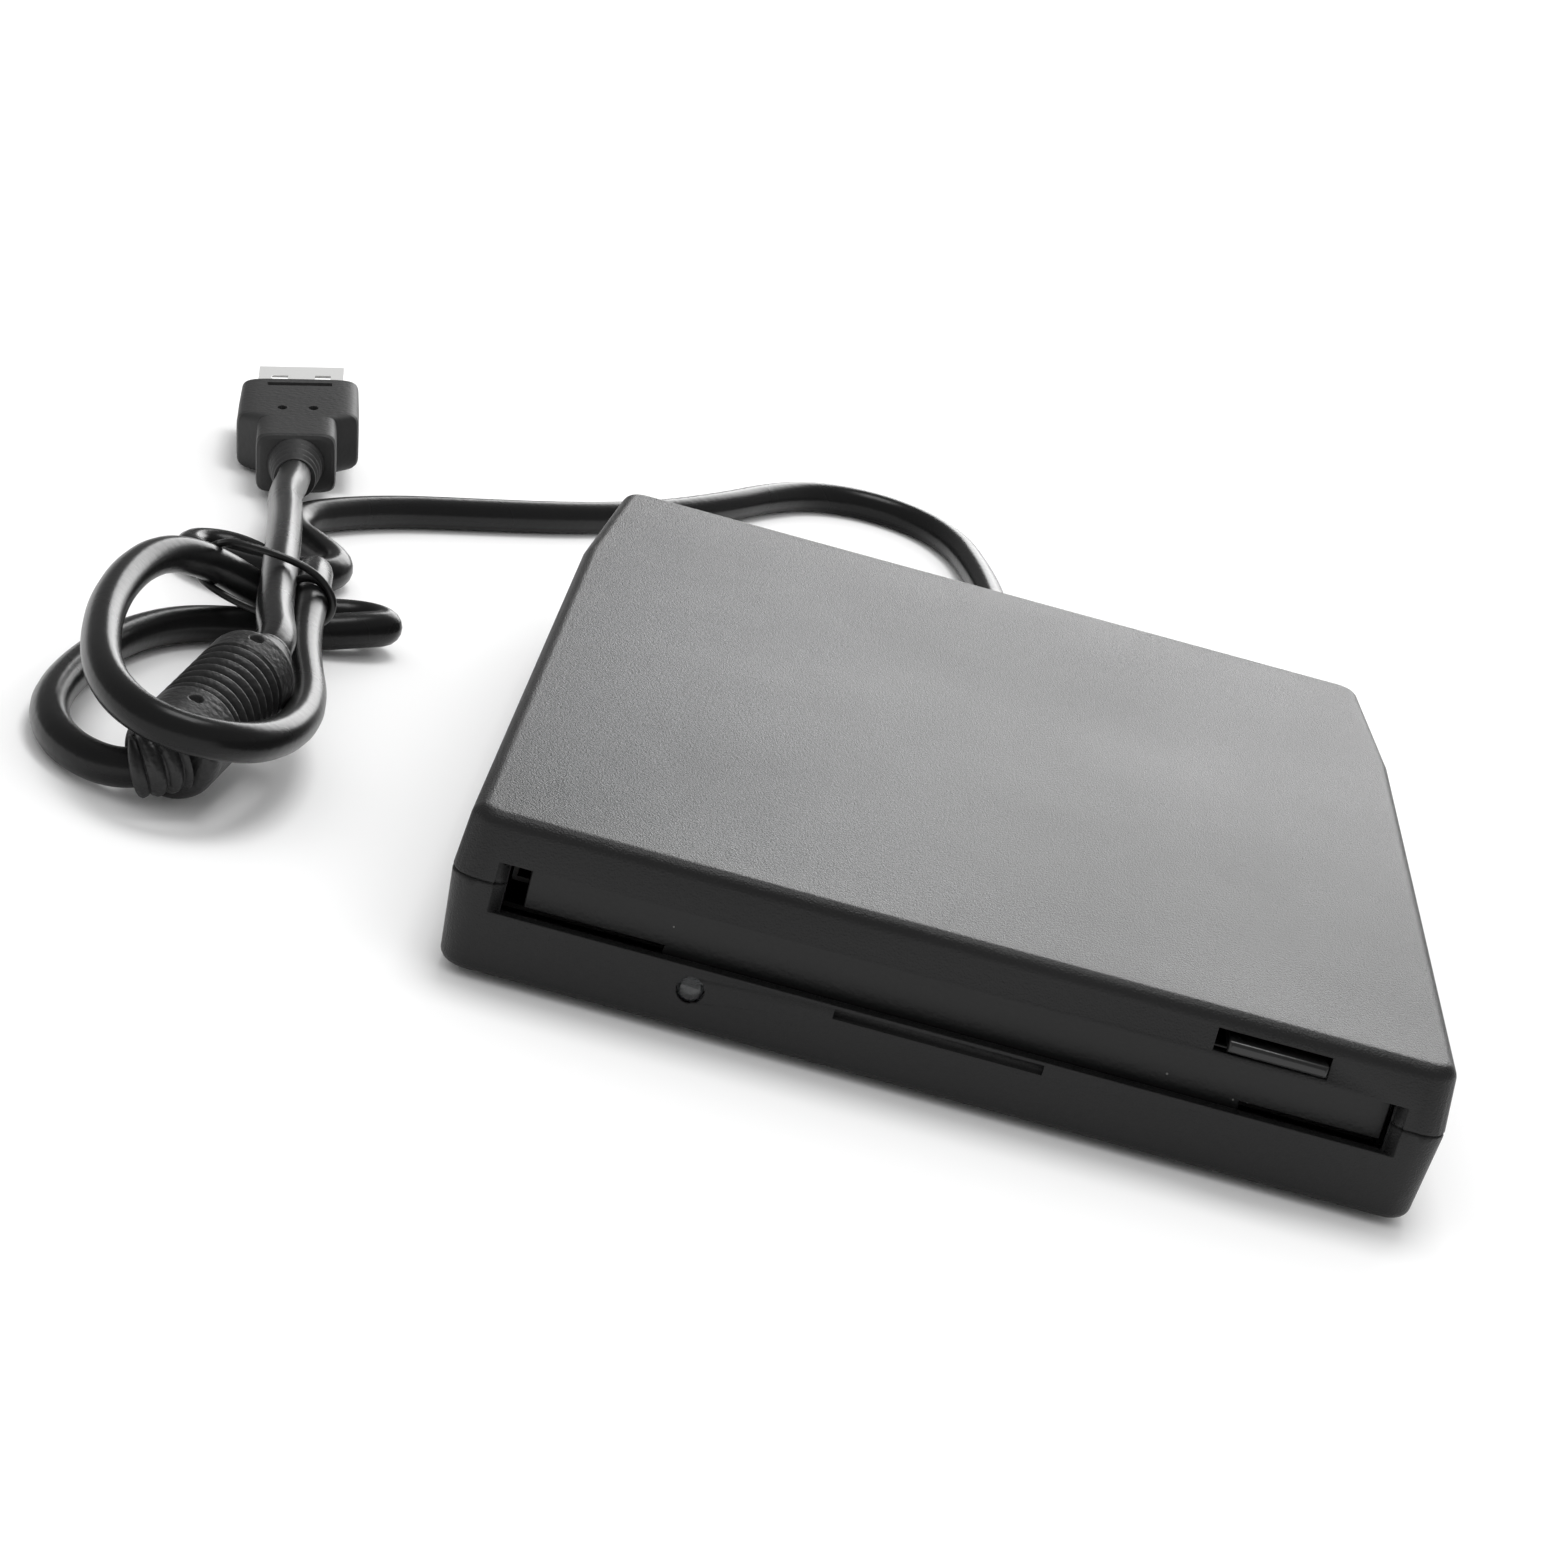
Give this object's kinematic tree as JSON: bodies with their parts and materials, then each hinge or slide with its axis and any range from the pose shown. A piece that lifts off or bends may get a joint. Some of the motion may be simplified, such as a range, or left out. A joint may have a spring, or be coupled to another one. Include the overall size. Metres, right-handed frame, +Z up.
{
  "type": "external floppy disk drive",
  "caption": "Slim slot-loading external disk drive with dust flap, eject button and clear lamp lens, and a tied USB lead with ferrite bead and plug.",
  "frame": {"origin": "centre of the drive's footprint on the surface it rests on, cord and plug left out", "axes": "+X to the right seen from the front, +Y from the slot's face to the back, +Z up"},
  "size_m": [0.1578, 0.2348, 0.018],
  "materials": {
    "case_plastic": "fine moulded grain",
    "flap_plastic": "satin",
    "button_plastic": "satin moulded",
    "clear_plastic": "clear moulded",
    "foot_rubber": "matt",
    "cord_pvc": "semi-gloss",
    "plug_plastic": "matt moulded",
    "bead_plastic": "grained",
    "tie_plastic": "coated wire",
    "steel_sheet": "zinc plated",
    "steel_bright": "bright",
    "spring_steel": "bright wire",
    "screw_steel": "plated",
    "plug_metal": "nickel plated",
    "tongue_plastic": "moulded",
    "black_plastic": "moulded",
    "board_green": "solder mask",
    "copper": "enamelled wire",
    "magnet_grey": "bonded ferrite",
    "brass": "turned",
    "head_ceramic": "lapped",
    "ribbon_white": "film"
  },
  "bodies": {
    "case": {"upper_case": "case_plastic", "lower_case": "case_plastic", "case_screws": "screw_steel", "rubber_feet": "foot_rubber", "led_lens": "clear_plastic", "led_board": "board_green", "led": "clear_plastic", "cord_gland": "cord_pvc", "flap_spring": "spring_steel", "chassis": "steel_sheet", "inner_screws": "screw_steel", "chassis_rivets": "steel_bright", "eject_springs": "spring_steel", "motor_board": "board_green", "spindle_bearing": "brass", "stator_core": "steel_sheet", "stator_coils": "copper", "guide_rods": "steel_bright", "rod_clamps": "steel_sheet", "stepper_bracket": "steel_sheet", "stepper_motor": "steel_sheet", "screw_bearing": "black_plastic", "board_standoffs": "brass", "main_board": "board_green", "main_chips": "black_plastic", "media_switches": "black_plastic", "track_sensor": "black_plastic", "usb_board": "board_green", "usb_chips": "black_plastic", "crystal": "steel_bright", "cord_connector": "ribbon_white", "ribbon_sockets": "ribbon_white", "ribbon_cable": "ribbon_white", "usb_lead": "cord_pvc", "usb_bundle": "cord_pvc", "usb_tail": "cord_pvc", "twist_tie": "tie_plastic", "ferrite_bead": "bead_plastic", "plug_body": "plug_plastic", "plug_shell": "plug_metal", "plug_tongue": "tongue_plastic"},
    "flap": {"dust_flap": "flap_plastic"},
    "slider": {"slider": "steel_sheet", "eject_button": "button_plastic"},
    "holder": {"disk_holder": "steel_sheet", "holder_pins": "steel_bright", "latch_spring": "spring_steel"},
    "latch": {"latch_lever": "steel_sheet"},
    "carriage": {"head_carriage": "black_plastic", "lower_head": "head_ceramic", "arm_hinge_pin": "steel_bright", "screw_follower": "black_plastic"},
    "head_arm": {"upper_arm": "steel_sheet", "upper_head": "head_ceramic"},
    "rotor": {"spindle_rotor": "steel_sheet", "rotor_magnet": "magnet_grey", "spindle_shaft": "steel_bright", "chuck_magnet": "magnet_grey", "drive_pin": "steel_bright"},
    "screw": {"lead_screw": "steel_bright"}
  },
  "joints": [
    {"name": "flap_hinge", "type": "hinge", "parent": "case", "child": "flap", "pos_m": [0, -0.0675, 0.0133], "axis": [1, 0, 0], "range_deg": [0, 78], "stiffness_Nm_per_rad": 0.004, "springref_deg": -20.05},
    {"name": "slider_slide", "type": "slide", "parent": "case", "child": "slider", "axis": [0, -1, 0], "range_m": [0, 0.0045]},
    {"name": "holder_drop", "type": "slide", "parent": "case", "child": "holder", "axis": [0, 0, -1], "range_m": [0, 0.002]},
    {"name": "latch_swing", "type": "hinge", "parent": "holder", "child": "latch", "pos_m": [-0.034, 0.024, 0.0137], "axis": [0, 0, 1], "range_deg": [0, 60], "stiffness_Nm_per_rad": 0.001, "springref_deg": -11.46},
    {"name": "carriage_slide", "type": "slide", "parent": "case", "child": "carriage", "axis": [0, -1, 0], "range_m": [0, 0.01481]},
    {"name": "arm_lift", "type": "hinge", "parent": "carriage", "child": "head_arm", "pos_m": [0, 0.044, 0.0106], "axis": [1, 0, 0], "range_deg": [0, 10.5]},
    {"name": "spindle_spin", "type": "hinge", "parent": "case", "child": "rotor", "pos_m": [0, -0.018, 0.005], "axis": [0, 0, 1], "continuous": true},
    {"name": "screw_spin", "type": "hinge", "parent": "case", "child": "screw", "pos_m": [0.02, 0.04, 0.0086], "axis": [0, 1, 0], "range_deg": [0, 1777.5]}
  ],
  "couplings": [
    {"joint": "holder_drop", "follows": "slider_slide", "ratio": 0.44444},
    {"joint": "arm_lift", "follows": "slider_slide", "rad_per_m": 40.724},
    {"joint": "screw_spin", "follows": "carriage_slide", "rad_per_m": 2094.4}
  ]
}
